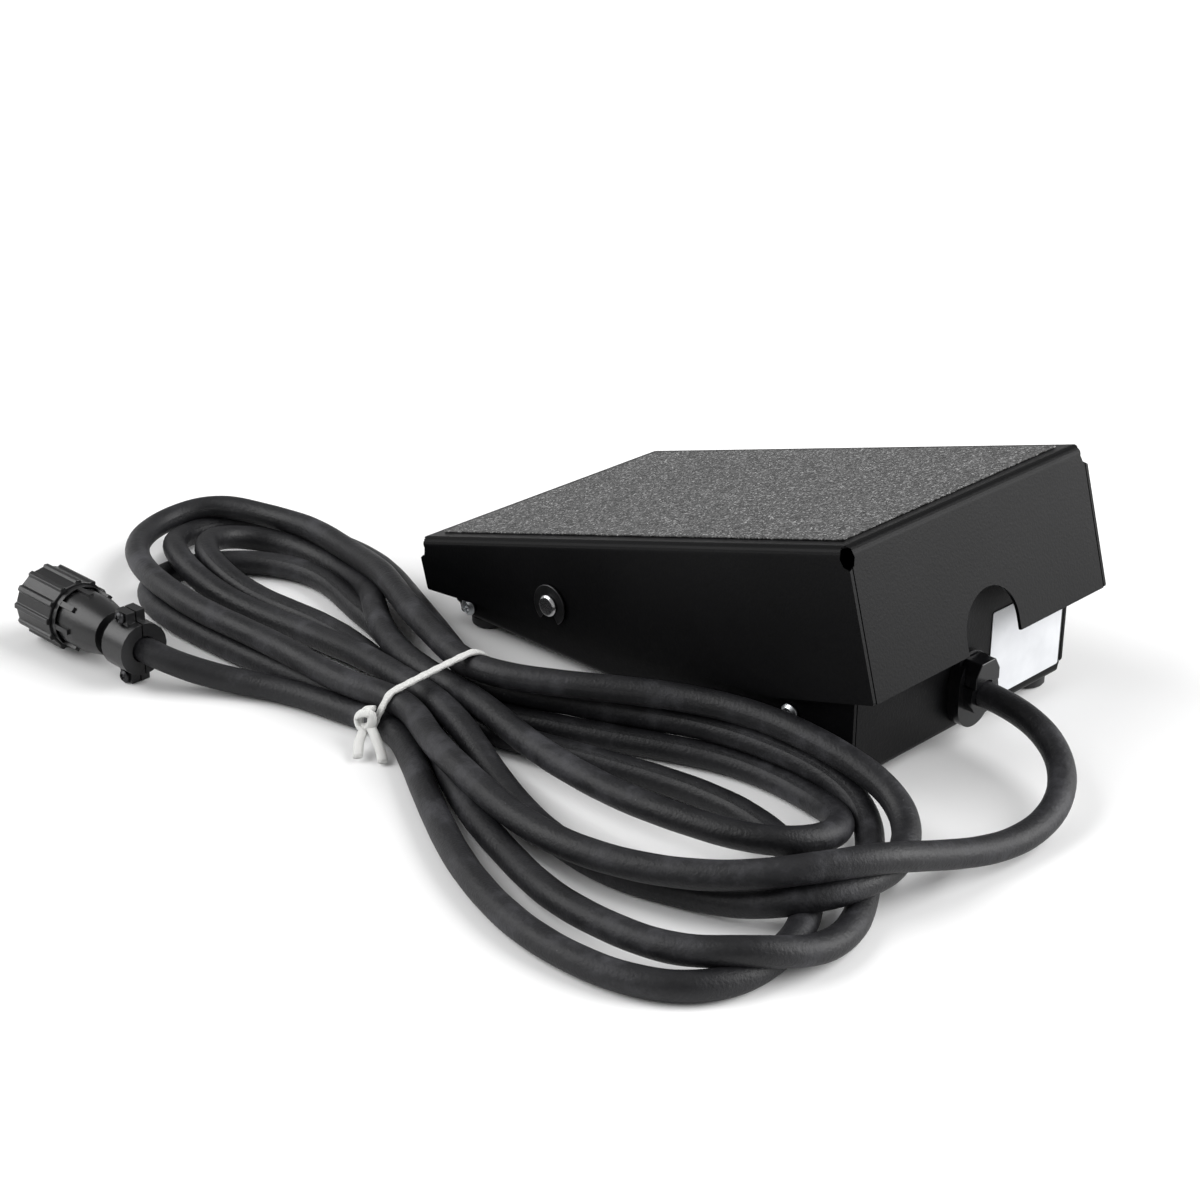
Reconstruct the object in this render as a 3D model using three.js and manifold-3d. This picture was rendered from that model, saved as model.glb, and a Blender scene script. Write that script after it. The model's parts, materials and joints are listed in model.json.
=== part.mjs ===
// A foot control: a folded steel cover with a grit tread, hinged on a rod across a folded steel tray.
// Millimetres, +Z up, +X from the heel to the toe. Pieces are first laid out with the hinge line at
// x = 0 and the floor at z = 0; the last step moves the whole object to the middle of its own length.
import * as THREE from 'three';
import { mergeVertices } from 'three/addons/utils/BufferGeometryUtils.js';
import Module from 'manifold-3d';

const wasm = await Module();
wasm.setup();

// ---------- driving sizes ----------
const GAP = 0.3;                        // air between pieces that touch
const SHEET = 1.5;                      // thickness of the folded steel
const BEND = 4;                         // outer radius of the cover's folds
const TRAY_BEND = 3;                    // outer radius of the tray's folds
const TILT = THREE.MathUtils.degToRad(16);      // the cover's slope at rest
const STROKE = THREE.MathUtils.degToRad(9);     // how far the cover turns down
const FOOT_HEIGHT = 5;

const COVER = { width: 152, heel: -79.8, toe: 167.6, top: 27.7, toeDrop: 61, heelDrop: 19.2, sideDrop: 23.6 };
const TRAY = { width: COVER.width - 12.8, heel: -65.9, toe: 156.4, heelTop: 31.3, toeTop: 63.3, lip: 20 };
const HINGE_Z = FOOT_HEIGHT + 27.3;     // height of the hinge line above the floor
const CORD = 5.5;                       // radius of the cord
const CORD_Z = 23.3;                    // height at which the cord leaves the tray

const TRAY_FLOOR = FOOT_HEIGHT + SHEET;
const CHASSIS_TOP = TRAY_FLOOR + GAP + SHEET;
const COVER_UNDER = COVER.top - SHEET;  // distance from the hinge line to the cover's underside

const group = new THREE.Group();
group.name = 'foot_pedal';

// ---------- materials ----------
const MATERIALS = {
  powder_coat: ['#191a1b', 0.45, 0.2],
  grit: ['#2b2c2e', 0.95, 0],
  zinc: ['#b9bdc0', 0.3, 0.9],
  steel: ['#a4a7aa', 0.35, 0.9],
  spring_steel: ['#6d7074', 0.4, 0.8],
  black_plastic: ['#161617', 0.4, 0],
  nylon: ['#d8d4c6', 0.5, 0],
  rubber: ['#1b1b1b', 0.85, 0],
  cord_rubber: ['#1d1d1e', 0.75, 0],
  label: ['#e9eaec', 0.35, 0],
  string: ['#ededea', 0.8, 0],
  wire: ['#8c2f2a', 0.5, 0],
};

// Add one named piece to the object.
function piece(name, material, geometry) {
  const [color, roughness, metalness] = MATERIALS[material];
  const look = new THREE.MeshStandardMaterial({ color, roughness, metalness });
  look.name = material;
  const mesh = new THREE.Mesh(geometry, look);
  mesh.name = name;
  group.add(mesh);
}

// ---------- joining and cutting ----------
function toSolid(geometry) {
  const bare = geometry.clone();
  bare.deleteAttribute('normal');
  bare.deleteAttribute('uv');
  const welded = mergeVertices(bare, 1e-4);
  const index = welded.index.array;
  const triangles = [];
  for (let i = 0; i < index.length; i += 3) {
    const [a, b, c] = [index[i], index[i + 1], index[i + 2]];
    if (a !== b && b !== c && c !== a) triangles.push(a, b, c);
  }
  return new wasm.Manifold(new wasm.Mesh({
    numProp: 3,
    vertProperties: new Float32Array(welded.attributes.position.array),
    triVerts: new Uint32Array(triangles),
  }));
}

function toGeometry(solid) {
  const mesh = solid.getMesh();
  const geometry = new THREE.BufferGeometry();
  geometry.setAttribute('position', new THREE.BufferAttribute(new Float32Array(mesh.vertProperties), 3));
  geometry.setIndex(new THREE.BufferAttribute(new Uint32Array(mesh.triVerts), 1));
  geometry.computeVertexNormals();
  return geometry;
}

const join = (first, ...rest) => toGeometry(rest.reduce((sum, g) => sum.add(toSolid(g)), toSolid(first)));
const cut = (first, ...rest) => toGeometry(rest.reduce((sum, g) => sum.subtract(toSolid(g)), toSolid(first)));
const common = (a, b) => toGeometry(toSolid(a).intersect(toSolid(b)));

// ---------- outlines and basic solids ----------
// A closed outline. Each corner is [a, b] or [a, b, radius].
function outline(corners) {
  const shape = new THREE.Shape();
  const count = corners.length;
  corners.forEach(([a, b, radius = 0], i) => {
    const corner = new THREE.Vector2(a, b);
    if (radius === 0) {
      if (i === 0) shape.moveTo(a, b);
      else shape.lineTo(a, b);
      return;
    }
    const before = new THREE.Vector2(...corners[(i + count - 1) % count]).sub(corner).normalize();
    const after = new THREE.Vector2(...corners[(i + 1) % count]).sub(corner).normalize();
    const half = Math.acos(THREE.MathUtils.clamp(before.dot(after), -1, 1)) / 2;
    const centre = before.clone().add(after).normalize().multiplyScalar(radius / Math.sin(half)).add(corner);
    const start = corner.clone().addScaledVector(before, radius / Math.tan(half)).sub(centre);
    const end = corner.clone().addScaledVector(after, radius / Math.tan(half)).sub(centre);
    if (i > 0) shape.lineTo(centre.x + start.x, centre.y + start.y);
    shape.absarc(centre.x, centre.y, radius, start.angle(), end.angle(), before.cross(after) > 0);
  });
  return shape;
}

// The edge outline of a folded sheet: the path is its outer face, with the sheet on the path's right.
function foldedStrip(path, bend) {
  const points = path.map((p) => new THREE.Vector2(...p));
  const outer = points.map((p, i) => [p.x, p.y, i > 0 && i < points.length - 1 ? bend : 0]);
  const inner = points.map((p, i) => {
    const into = points[Math.max(i, 1)].clone().sub(points[Math.max(i, 1) - 1]).normalize();
    const last = Math.min(i, points.length - 2);
    const out = points[last + 1].clone().sub(points[last]).normalize();
    const side = new THREE.Vector2(into.y, -into.x);
    const miter = side.clone().add(new THREE.Vector2(out.y, -out.x)).normalize();
    const reach = SHEET / miter.dot(side);
    return [p.x + miter.x * reach, p.y + miter.y * reach, i > 0 && i < points.length - 1 ? bend - SHEET : 0];
  });
  return outline([...outer, ...inner.reverse()]);
}

function circle(x, y, radius) {
  return new THREE.Shape().absarc(x, y, radius, 0, 2 * Math.PI, false);
}

function extrudeZ(shape, z0, z1, curveSegments = 3) {
  const geometry = new THREE.ExtrudeGeometry(shape, { depth: z1 - z0, bevelEnabled: false, curveSegments });
  return geometry.translate(0, 0, z0);
}

// The shape's axes become Y and Z.
function extrudeX(shape, x0, x1, curveSegments) {
  const turn = new THREE.Matrix4().makeBasis(
    new THREE.Vector3(0, 1, 0), new THREE.Vector3(0, 0, 1), new THREE.Vector3(1, 0, 0));
  return extrudeZ(shape, x0, x1, curveSegments).applyMatrix4(turn);
}

// The shape's axes become X and Z.
function extrudeY(shape, y0, y1, curveSegments) {
  return extrudeZ(shape, -y1, -y0, curveSegments).rotateX(Math.PI / 2);
}

function box(x0, x1, y0, y1, z0, z1) {
  return new THREE.BoxGeometry(x1 - x0, y1 - y0, z1 - z0)
    .translate((x0 + x1) / 2, (y0 + y1) / 2, (z0 + z1) / 2);
}

// A turned piece about +Z from a profile of [radius, height] corners.
function turned(profile, segments = 16) {
  const points = profile.map(([r, z]) => new THREE.Vector2(r, z));
  return new THREE.LatheGeometry(points, segments).rotateX(Math.PI / 2);
}

// A turned ring: its profile closes on itself.
const turnedRing = (profile, segments) => turned([...profile, profile[0]], segments);

const cylinder = (radius, z0, z1, segments = 16) =>
  turned([[0, z0], [radius, z0], [radius, z1], [0, z1]], segments);

// Point a piece that was made along +Z in another direction.
const alongX = (geometry) => geometry.rotateY(Math.PI / 2);
const alongY = (geometry) => geometry.rotateX(-Math.PI / 2);

// The same piece on the far side of the middle plane, with its faces turned back outward.
function mirrored(geometry) {
  const copy = geometry.clone().scale(1, -1, 1);
  const bare = copy.index ? copy.toNonIndexed() : copy;
  const position = bare.attributes.position;
  const swap = new THREE.Vector3();
  const other = new THREE.Vector3();
  for (let i = 0; i < position.count; i += 3) {
    swap.fromBufferAttribute(position, i + 1);
    other.fromBufferAttribute(position, i + 2);
    position.setXYZ(i + 1, other.x, other.y, other.z);
    position.setXYZ(i + 2, swap.x, swap.y, swap.z);
  }
  bare.computeVertexNormals();
  return bare;
}

// Cover pieces are drawn with the tread level and the hinge line at the origin, then set at the rest slope.
const onCover = (geometry) => geometry.rotateY(-TILT).translate(0, 0, HINGE_Z);

// A point given at the rest pose, relative to the hinge line, in the cover's own level frame.
function inCover(x, z, slope = TILT) {
  return [x * Math.cos(slope) + z * Math.sin(slope), z * Math.cos(slope) - x * Math.sin(slope)];
}

// A round tube along a smooth route.
function tube(points, radius, sides, steps) {
  const route = new THREE.CatmullRomCurve3(points.map((p) => new THREE.Vector3(...p)), false, 'centripetal');
  const section = new THREE.Shape();
  for (let i = 0; i < sides; i += 1) {
    const angle = 2 * Math.PI * i / sides;
    const [a, b] = [radius * Math.cos(angle), radius * Math.sin(angle)];
    if (i === 0) section.moveTo(a, b);
    else section.lineTo(a, b);
  }
  return new THREE.ExtrudeGeometry(section, { steps, extrudePath: route, bevelEnabled: false });
}

// ---------- folded shells ----------
// A box folded from one sheet: a floor with two sides and two ends, the ends standing between the sides.
// 'sides' and 'ends' are sheet paths, 'profile' is the side view and 'front' the end view, both filled in.
function foldedShell({ sides, ends, profile, front, heel, toe, width, bend, relief }) {
  const half = width / 2;
  const between = half - SHEET - 2 * GAP;
  const sideStrip = extrudeX(foldedStrip(sides, bend), heel, toe);
  const sideSheet = common(sideStrip, extrudeY(profile, -half - 1, half + 1));
  const inner = half - SHEET;
  const pastToe = box(toe - bend, toe + 1, -inner, inner, -100, 200);
  const pastHeel = box(heel - 1, heel + bend, -inner, inner, -100, 200);
  const endStrip = extrudeY(foldedStrip(ends, bend), -between, between);
  const endSheet = common(endStrip, extrudeX(front, heel - 1, toe + 1));
  const corners = [];
  for (const [x, spin] of [[toe, -1], [heel, 1]]) {
    for (const side of [-1, 1]) {
      const hole = new THREE.Shape().absellipse(0, 0, relief.wide / 2, relief.tall / 2, 0, 2 * Math.PI);
      const reach = 1.5 * bend;
      const cutter = extrudeY(hole, -reach, reach, 4).rotateZ(spin * side * Math.PI / 4);
      corners.push(cutter.translate(x, side * half, relief.z));
    }
  }
  return cut(join(cut(sideSheet, pastToe, pastHeel), endSheet), ...corners);
}

// ---------- cover ----------
const halfCover = COVER.width / 2;
const kink = [115.4, COVER.top - COVER.toeDrop];        // where the side flange stops deepening
const NOTCH = { radius: 17, top: COVER.top - 38.1 };    // arch in the toe lip over the strain relief
const ROD = 4.75;
const RIVETS = [[50, -7], [64, -7]];                    // sector rack to cover, in the cover's frame

function coverShell() {
  const bottom = COVER.top - COVER.toeDrop;
  const below = bottom - 5;
  const shell = foldedShell({
    sides: [[-halfCover, below], [-halfCover, COVER.top], [halfCover, COVER.top], [halfCover, below]],
    ends: [[COVER.heel, COVER.top - COVER.heelDrop], [COVER.heel, COVER.top], [COVER.toe, COVER.top],
      [COVER.toe, bottom]],
    profile: outline([[COVER.heel, COVER.top - COVER.sideDrop, 1], [COVER.heel, COVER.top, BEND],
      [COVER.toe, COVER.top, BEND], [COVER.toe, bottom, 1], [...kink, 2]]),
    front: outline([[-halfCover, below], [-halfCover, COVER.top, BEND], [halfCover, COVER.top, BEND],
      [halfCover, below]]),
    heel: COVER.heel,
    toe: COVER.toe,
    width: COVER.width,
    bend: BEND,
    relief: { wide: 5.6, tall: 9, z: COVER.top - 4.6 },
  });
  const arch = outline([[-NOTCH.radius, bottom - 2], [-NOTCH.radius, NOTCH.top, NOTCH.radius - 0.01],
    [NOTCH.radius, NOTCH.top, NOTCH.radius - 0.01], [NOTCH.radius, bottom - 2]]);
  const notch = extrudeX(arch, COVER.toe - 10, COVER.toe + 5, 6);
  const hinge = extrudeY(circle(0, 0, ROD + GAP), -halfCover - 1, halfCover + 1, 8);
  const rivetHoles = RIVETS.map(([x, y]) =>
    cylinder(2 + GAP, COVER.top - 3, COVER.top + 1, 10).translate(x, y, 0));
  return onCover(cut(shell, notch, hinge, ...rivetHoles));
}
piece('pedal_cover', 'powder_coat', coverShell());

// Bare steel left round the grit sheet, and the sheet's thickness.
const GRIT = { side: 8.2, end: 9, thick: 0.8 };
piece('grit_sheet', 'grit', onCover(extrudeZ(outline([
  [COVER.heel + GRIT.end, -halfCover + GRIT.side, 2], [COVER.toe - GRIT.side, -halfCover + GRIT.side, 2],
  [COVER.toe - GRIT.side, halfCover - GRIT.side, 2], [COVER.heel + GRIT.end, halfCover - GRIT.side, 2],
]), COVER.top + GAP / 3, COVER.top + GRIT.thick)));

// ---------- tray ----------
const halfTray = TRAY.width / 2;
const heelTop = FOOT_HEIGHT + TRAY.heelTop;
const toeTop = FOOT_HEIGHT + TRAY.toeTop;
const BUSH = 6.6;
const SIDE_SCREWS = { heel: [-57.5, FOOT_HEIGHT + 5.6], toe: [125.8, FOOT_HEIGHT + 20.5] };
const FEET = { heel: [TRAY.heel + 10.4, halfTray - 10], toe: [TRAY.toe - 10.4, halfTray - 10] };
const REST_BUMPER = { x: TRAY.heel + 11, y: 40, stem: 2.5 };
const TOE_BUMPER = { x: TRAY.toe - 11, y: 40, stem: 2.5 };
const RELIEF = { wide: 22, tall: 32, inner: 17, innerTall: 24 };

// An upright oblong, round at top and bottom, about (0, CORD_Z).
function oblong(wide, tall) {
  const [r, h] = [wide / 2, tall / 2];
  return outline([[-r, CORD_Z - h, r - 0.01], [r, CORD_Z - h, r - 0.01], [r, CORD_Z + h, r - 0.01],
    [-r, CORD_Z + h, r - 0.01]]);
}

function trayShell() {
  const shell = foldedShell({
    sides: [[halfTray, 90], [halfTray, FOOT_HEIGHT], [-halfTray, FOOT_HEIGHT], [-halfTray, 90]],
    ends: [[TRAY.toe - TRAY.lip, toeTop], [TRAY.toe, toeTop], [TRAY.toe, FOOT_HEIGHT],
      [TRAY.heel, FOOT_HEIGHT], [TRAY.heel, heelTop], [TRAY.heel + TRAY.lip, heelTop]],
    profile: outline([[TRAY.heel, FOOT_HEIGHT, TRAY_BEND], [TRAY.toe, FOOT_HEIGHT, TRAY_BEND],
      [TRAY.toe, toeTop, TRAY_BEND], [-20, HINGE_Z + 16, 8], [TRAY.heel, heelTop, TRAY_BEND]]),
    front: outline([[-halfTray, FOOT_HEIGHT, TRAY_BEND], [halfTray, FOOT_HEIGHT, TRAY_BEND], [halfTray, 90],
      [-halfTray, 90]]),
    heel: TRAY.heel,
    toe: TRAY.toe,
    width: TRAY.width,
    bend: TRAY_BEND,
    relief: { wide: 4, tall: 6, z: FOOT_HEIGHT + 3 },
  });
  const through = [-halfTray - 1, halfTray + 1];
  const holes = [extrudeY(circle(0, HINGE_Z, BUSH + GAP), ...through, 8)];
  for (const [x, z] of Object.values(SIDE_SCREWS)) holes.push(extrudeY(circle(x, z, 2 + GAP), ...through, 5));
  const cordHole = oblong(RELIEF.inner + 2 * GAP, RELIEF.innerTall + 2 * GAP);
  holes.push(extrudeX(cordHole, TRAY.toe - 3, TRAY.toe + 1, 4));
  for (const side of [-1, 1]) {
    for (const [x, y] of Object.values(FEET)) {
      holes.push(cylinder(2 + GAP, 0, 10, 10).translate(x, side * y, 0));
    }
    for (const [bumper, top] of [[REST_BUMPER, heelTop], [TOE_BUMPER, toeTop]]) {
      holes.push(cylinder(bumper.stem + GAP, top - 3, top + 1, 10).translate(bumper.x, side * bumper.y, 0));
    }
  }
  return cut(shell, ...holes);
}
piece('base_tray', 'powder_coat', trayShell());

// A pan-head screw pointing along -Z with its seat at z = 0; the driver slot is a cross.
function screw(headRadius, headHeight, shankRadius, length) {
  const body = turned([[0, -length], [shankRadius * 0.6, -length], [shankRadius, -length + 0.8],
    [shankRadius, 0], [headRadius, 0], [headRadius, headHeight * 0.45], [headRadius * 0.62, headHeight * 0.9],
    [0, headHeight]], 12);
  const arm = headRadius * 0.55;
  const slot = headRadius * 0.16;
  const deep = headHeight * 0.45;
  const along = box(-arm, arm, -slot, slot, deep, headHeight + 1);
  const across = box(-slot, slot, -arm, arm, deep, headHeight + 1);
  return cut(body, along, across);
}

function eachSide(name, material, make) {
  const near = make();
  piece(`${name}_near`, material, near);
  piece(`${name}_far`, material, mirrored(near));
}

for (const end of ['heel', 'toe']) {
  const [footX, footY] = FEET[end];
  eachSide(`foot_${end}`, 'rubber', () => turnedRing([[2 + GAP, 2], [4.8, 2], [4.8, 0], [7, 0], [8, 1],
    [8, FOOT_HEIGHT - GAP], [2 + GAP, FOOT_HEIGHT - GAP]]).translate(footX, -footY, 0));
  eachSide(`foot_screw_${end}`, 'zinc', () => screw(4, 1.4, 2, 7.6).rotateX(Math.PI)
    .translate(footX, -footY, 2 - GAP));
  const [screwX, screwZ] = SIDE_SCREWS[end];
  eachSide(`side_screw_${end}`, 'zinc', () => screw(4, 2.4, 2, 6).rotateX(Math.PI / 2)
    .translate(screwX, -halfTray - GAP, screwZ));
}

const SPRING = { x: 104, y: 38, radius: 9, wire: 1, turns: 7 };

// Inner plate with a lug up each tray side for every side screw, and a peg inside each return spring.
function chassisPlate() {
  const face = halfTray - SHEET - GAP;
  const level = CHASSIS_TOP - SHEET;
  const lugs = Object.values(SIDE_SCREWS).map(([x, z]) => extrudeX(
    foldedStrip([[face, z + 7], [face, level], [-face, level], [-face, z + 7]], TRAY_BEND), x - 6, x + 6));
  const plate = extrudeZ(outline([[SIDE_SCREWS.heel[0] - 6, -face + 4], [SIDE_SCREWS.toe[0] + 6, -face + 4],
    [SIDE_SCREWS.toe[0] + 6, face - 4], [SIDE_SCREWS.heel[0] - 6, face - 4]]), level, CHASSIS_TOP);
  const holes = Object.values(SIDE_SCREWS).map(([x, z]) =>
    extrudeY(circle(x, z, 2 + GAP), -halfTray, halfTray, 5));
  const pegs = [];
  for (const side of [-1, 1]) {
    holes.push(cylinder(3.5, 0, 15, 10).translate(FEET.heel[0], side * FEET.heel[1], 0));
    pegs.push(cylinder(6.5, level, CHASSIS_TOP + 5).translate(SPRING.x, side * SPRING.y, 0));
  }
  return cut(join(plate, ...lugs, ...pegs), ...holes);
}
piece('chassis', 'zinc', chassisPlate());

// ---------- hinge ----------
const RING = { radius: 9, thick: 1, y: halfCover + 0.5 };
const rodHalf = halfCover + 3.2;

function pivotRod() {
  const groove = [RING.y - GAP, RING.y + RING.thick + GAP];
  const end = [[ROD - 0.8, groove[0]], [ROD - 0.8, groove[1]], [ROD, groove[1]], [ROD, rodHalf - 0.8],
    [ROD - 0.8, rodHalf], [0, rodHalf]];
  const start = end.map(([r, y]) => [r, -y]).reverse();
  return alongY(turned([...start, [ROD, -groove[0]], [ROD, groove[0]], ...end], 24)).translate(0, 0, HINGE_Z);
}
piece('pivot_rod', 'steel', pivotRod());

// Open retaining ring: a C with a wide lug opposite its mouth.
function retainingRing() {
  const mouth = THREE.MathUtils.degToRad(35);
  const bore = ROD - 0.8 + GAP;
  const ring = new THREE.Shape();
  ring.absarc(0, 0, RING.radius, -Math.PI / 2 + mouth, -Math.PI / 2 - mouth + 2 * Math.PI, false);
  ring.absarc(0, 0, bore, -Math.PI / 2 - mouth + 2 * Math.PI, -Math.PI / 2 + mouth, true);
  return extrudeY(ring, -RING.y - RING.thick, -RING.y, 10).translate(0, 0, HINGE_Z);
}
eachSide('retaining_ring', 'spring_steel', retainingRing);

// Flanged bush in the tray's side; its flange fills the space out to the cover's flange.
function pivotBush() {
  const flange = [halfTray + GAP, halfCover - SHEET - GAP];
  const profile = [[ROD + 0.1, halfTray - SHEET - 2], [BUSH, halfTray - SHEET - 2], [BUSH, flange[0]],
    [9, flange[0]], [9, flange[1]], [ROD + 0.1, flange[1]]];
  return alongY(turnedRing(profile, 24)).translate(0, 0, HINGE_Z);
}
piece('pivot_bush_far', 'nylon', pivotBush());
piece('pivot_bush_near', 'nylon', mirrored(pivotBush()));

// ---------- stops ----------
// A round rubber stop with its stem through a lip: 'top' is the lip's upper face.
function bumper(top, height) {
  return turned([[0, top - SHEET - 3], [2, top - SHEET - 3], [4, top - SHEET - GAP], [2.5, top - SHEET - GAP],
    [2.5, top + GAP], [6, top + GAP], [6, top + height - 0.6], [5.4, top + height], [0, top + height]]);
}

// Height of the cover's underside above the floor at a given slope.
const underside = (x, slope) => HINGE_Z + x * Math.tan(slope) + COVER_UNDER / Math.cos(slope);

const restHeight = underside(REST_BUMPER.x - 6, TILT) - GAP - heelTop;
const toeHeight = underside(TOE_BUMPER.x - 6, TILT - STROKE) - GAP - toeTop;
eachSide('rest_bumper', 'rubber', () =>
  bumper(heelTop, restHeight).translate(REST_BUMPER.x, -REST_BUMPER.y, 0));
eachSide('toe_bumper', 'rubber', () => bumper(toeTop, toeHeight).translate(TOE_BUMPER.x, -TOE_BUMPER.y, 0));

// ---------- return springs ----------
const midSlope = TILT - STROKE / 2;
const springTop = underside(SPRING.x, TILT) - 7;

// Coil with its last turn at each end laid flat.
function returnSpring() {
  const low = CHASSIS_TOP + GAP + SPRING.wire;
  const high = springTop - SPRING.wire;
  const points = [];
  const perTurn = 8;
  for (let i = 0; i <= SPRING.turns * perTurn; i += 1) {
    const turn = i / perTurn;
    const rise = THREE.MathUtils.clamp((turn - 1) / (SPRING.turns - 2), 0, 1);
    const flat = Math.min(turn, 1) + Math.max(turn - SPRING.turns + 1, 0);
    const angle = 2 * Math.PI * turn;
    const pitch = 2 * SPRING.wire + GAP;
    points.push([SPRING.x + SPRING.radius * Math.cos(angle), SPRING.radius * Math.sin(angle) - SPRING.y,
      low + rise * (high - low - 2 * pitch) + flat * pitch]);
  }
  return tube(points, SPRING.wire, 6, SPRING.turns * perTurn);
}
eachSide('return_spring', 'spring_steel', returnSpring);

// Cap under the cover, square to the spring half-way down the stroke.
function springCup() {
  const [x, z] = inCover(SPRING.x, springTop + GAP + 0.8 - HINGE_Z);
  const cup = turned([[0, -4], [3.6, -4], [4.2, 0], [12.5, 0], [12.5, 20], [0, 20]])
    .rotateY(midSlope).translate(x, -SPRING.y, z);
  return onCover(common(cup, box(0, 200, -100, 100, -100, COVER_UNDER - GAP)));
}
eachSide('spring_cup', 'nylon', springCup);

// ---------- potentiometer drive ----------
const GEAR = { module: 0.8, sector: 175, pinion: 14, y: -14.5, drop: -6.3 };
const sectorRadius = GEAR.module * GEAR.sector / 2;
const pinionRadius = GEAR.module * GEAR.pinion / 2;
const shaftReach = sectorRadius + pinionRadius + 0.2;
const shaftX = Math.sqrt(shaftReach ** 2 - GEAR.drop ** 2);
const shaftZ = HINGE_Z + GEAR.drop;
const meshAngle = Math.asin(GEAR.drop / shaftReach);

// The flank points of one tooth whose middle is at an angle, on a wheel of some pitch radius.
function tooth(radius, angle, middle = [0, 0]) {
  const root = 1.0 * GEAR.module * Math.PI / 2 * 0.62 / radius;
  const tip = 0.5 * GEAR.module * Math.PI / 2 * 0.5 / radius;
  const at = (r, a) => [middle[0] + r * Math.cos(a), middle[1] + r * Math.sin(a)];
  const [low, high] = [radius - 1.2 * GEAR.module, radius + 0.9 * GEAR.module];
  return [at(low, angle - root), at(high, angle - tip), at(high, angle + tip), at(low, angle + root)];
}

// Toothed sector about the hinge line, with a flange under the cover.
function sectorRack() {
  const pitch = 2 * Math.PI / GEAR.sector;
  const points = [];
  for (let i = -2; i <= 7; i += 1) points.push(...tooth(sectorRadius, meshAngle - TILT + i * pitch));
  const flange = COVER_UNDER - GAP;
  const web = outline([...points, [70, flange], [44, flange], [50, -10], [60, -26]]);
  const [y0, y1] = [GEAR.y - 1.5, GEAR.y + 1.5];
  const foot = box(44, 70, y0, y1 + 12, flange - 3, flange);
  const holes = RIVETS.map(([x, y]) => cylinder(2 + GAP, flange - 4, flange + 1, 10).translate(x, y, 0));
  return onCover(cut(join(extrudeY(web, y0, y1), foot), ...holes));
}
piece('sector_rack', 'nylon', sectorRack());

RIVETS.forEach(([x, y], i) => {
  const under = COVER_UNDER - 2 * GAP - 3;
  const rivet = turned([[0, under - 1.4], [2.4, under - 1.2], [3.4, under], [2, under], [2, COVER.top - GAP],
    [0, COVER.top - GAP]], 10);
  piece(`sector_rivet_${i === 0 ? 'heel' : 'toe'}`, 'zinc', onCover(rivet.translate(x, y, 0)));
});

// Small gear in mesh with the sector: one of its gaps faces the hinge line.
function pinion() {
  const points = [];
  for (let i = 0; i < GEAR.pinion; i += 1) {
    const angle = meshAngle + Math.PI + (i + 0.5) * 2 * Math.PI / GEAR.pinion;
    points.push(...tooth(pinionRadius, angle, [shaftX, shaftZ]));
  }
  const wheel = outline(points);
  wheel.holes.push(circle(shaftX, shaftZ, 3 + GAP));
  return extrudeY(wheel, GEAR.y - 2.5, GEAR.y + 2.5, 6);
}
piece('pinion', 'nylon', pinion());

const POT = { bracket: [-8, -6.5], radius: 12, depth: 14, neck: 4.5 };
const atShaft = (geometry) => alongY(geometry).translate(shaftX, 0, shaftZ);
piece('pot_shaft', 'steel', atShaft(cylinder(3, GEAR.y - 3.5, POT.bracket[1] + 4)));
piece('pot_body', 'black_plastic', atShaft(turned([
  [0, POT.bracket[1] + 4 + GAP], [3 + GAP, POT.bracket[1] + 4 + GAP],
  [3 + GAP, POT.bracket[0] - 3], [POT.neck, POT.bracket[0] - 3], [POT.neck, POT.bracket[1] + GAP],
  [POT.radius, POT.bracket[1] + GAP], [POT.radius, POT.bracket[1] + POT.depth - 1],
  [POT.radius - 1, POT.bracket[1] + POT.depth], [0, POT.bracket[1] + POT.depth],
], 24)));

function potNut() {
  const hexagon = new THREE.Shape();
  for (let i = 0; i < 6; i += 1) {
    const [a, b] = [7 * Math.cos(i * Math.PI / 3), 7 * Math.sin(i * Math.PI / 3)];
    if (i === 0) hexagon.moveTo(a, b);
    else hexagon.lineTo(a, b);
  }
  hexagon.holes.push(circle(0, 0, POT.neck + GAP));
  return extrudeY(hexagon, POT.bracket[0] - GAP - 2, POT.bracket[0] - GAP, 8).translate(shaftX, 0, shaftZ);
}
piece('pot_nut', 'zinc', potNut());

// An angle bracket: an upright plate across Y with a foot along the chassis.
function angleBracket(x0, x1, upright, footEnd, height, holes) {
  const level = CHASSIS_TOP + GAP;
  const path = footEnd > upright[0]
    ? [[footEnd, level], [upright[0], level], [upright[0], height]]
    : [[upright[1], height], [upright[1], level], [footEnd, level]];
  return cut(extrudeX(foldedStrip(path, TRAY_BEND), x0, x1), ...holes);
}

piece('pot_bracket', 'zinc', angleBracket(shaftX - 20, shaftX + 20, POT.bracket, 9, shaftZ + 14, [
  extrudeY(circle(shaftX, shaftZ, POT.neck + GAP), -20, 0, 8),
]));

// ---------- microswitch ----------
const SWITCH = {
  x0: 10, x1: 38, y0: 20, y1: 30, z0: 12, z1: 28,     // the switch's body
  hinge: 11.5, tip: 33, rise: 13, lever: 29.4,        // the lever's ends, its angle and its height
};
const SWITCH_HOLES = [[14.5, 15.5], [33.5, 15.5]];
const leverRise = THREE.MathUtils.degToRad(SWITCH.rise);
const PLUNGER = { x: 17.5, radius: 1.3 };
const leverAt = (x) => SWITCH.lever + (x - SWITCH.hinge) * Math.tan(leverRise);

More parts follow.
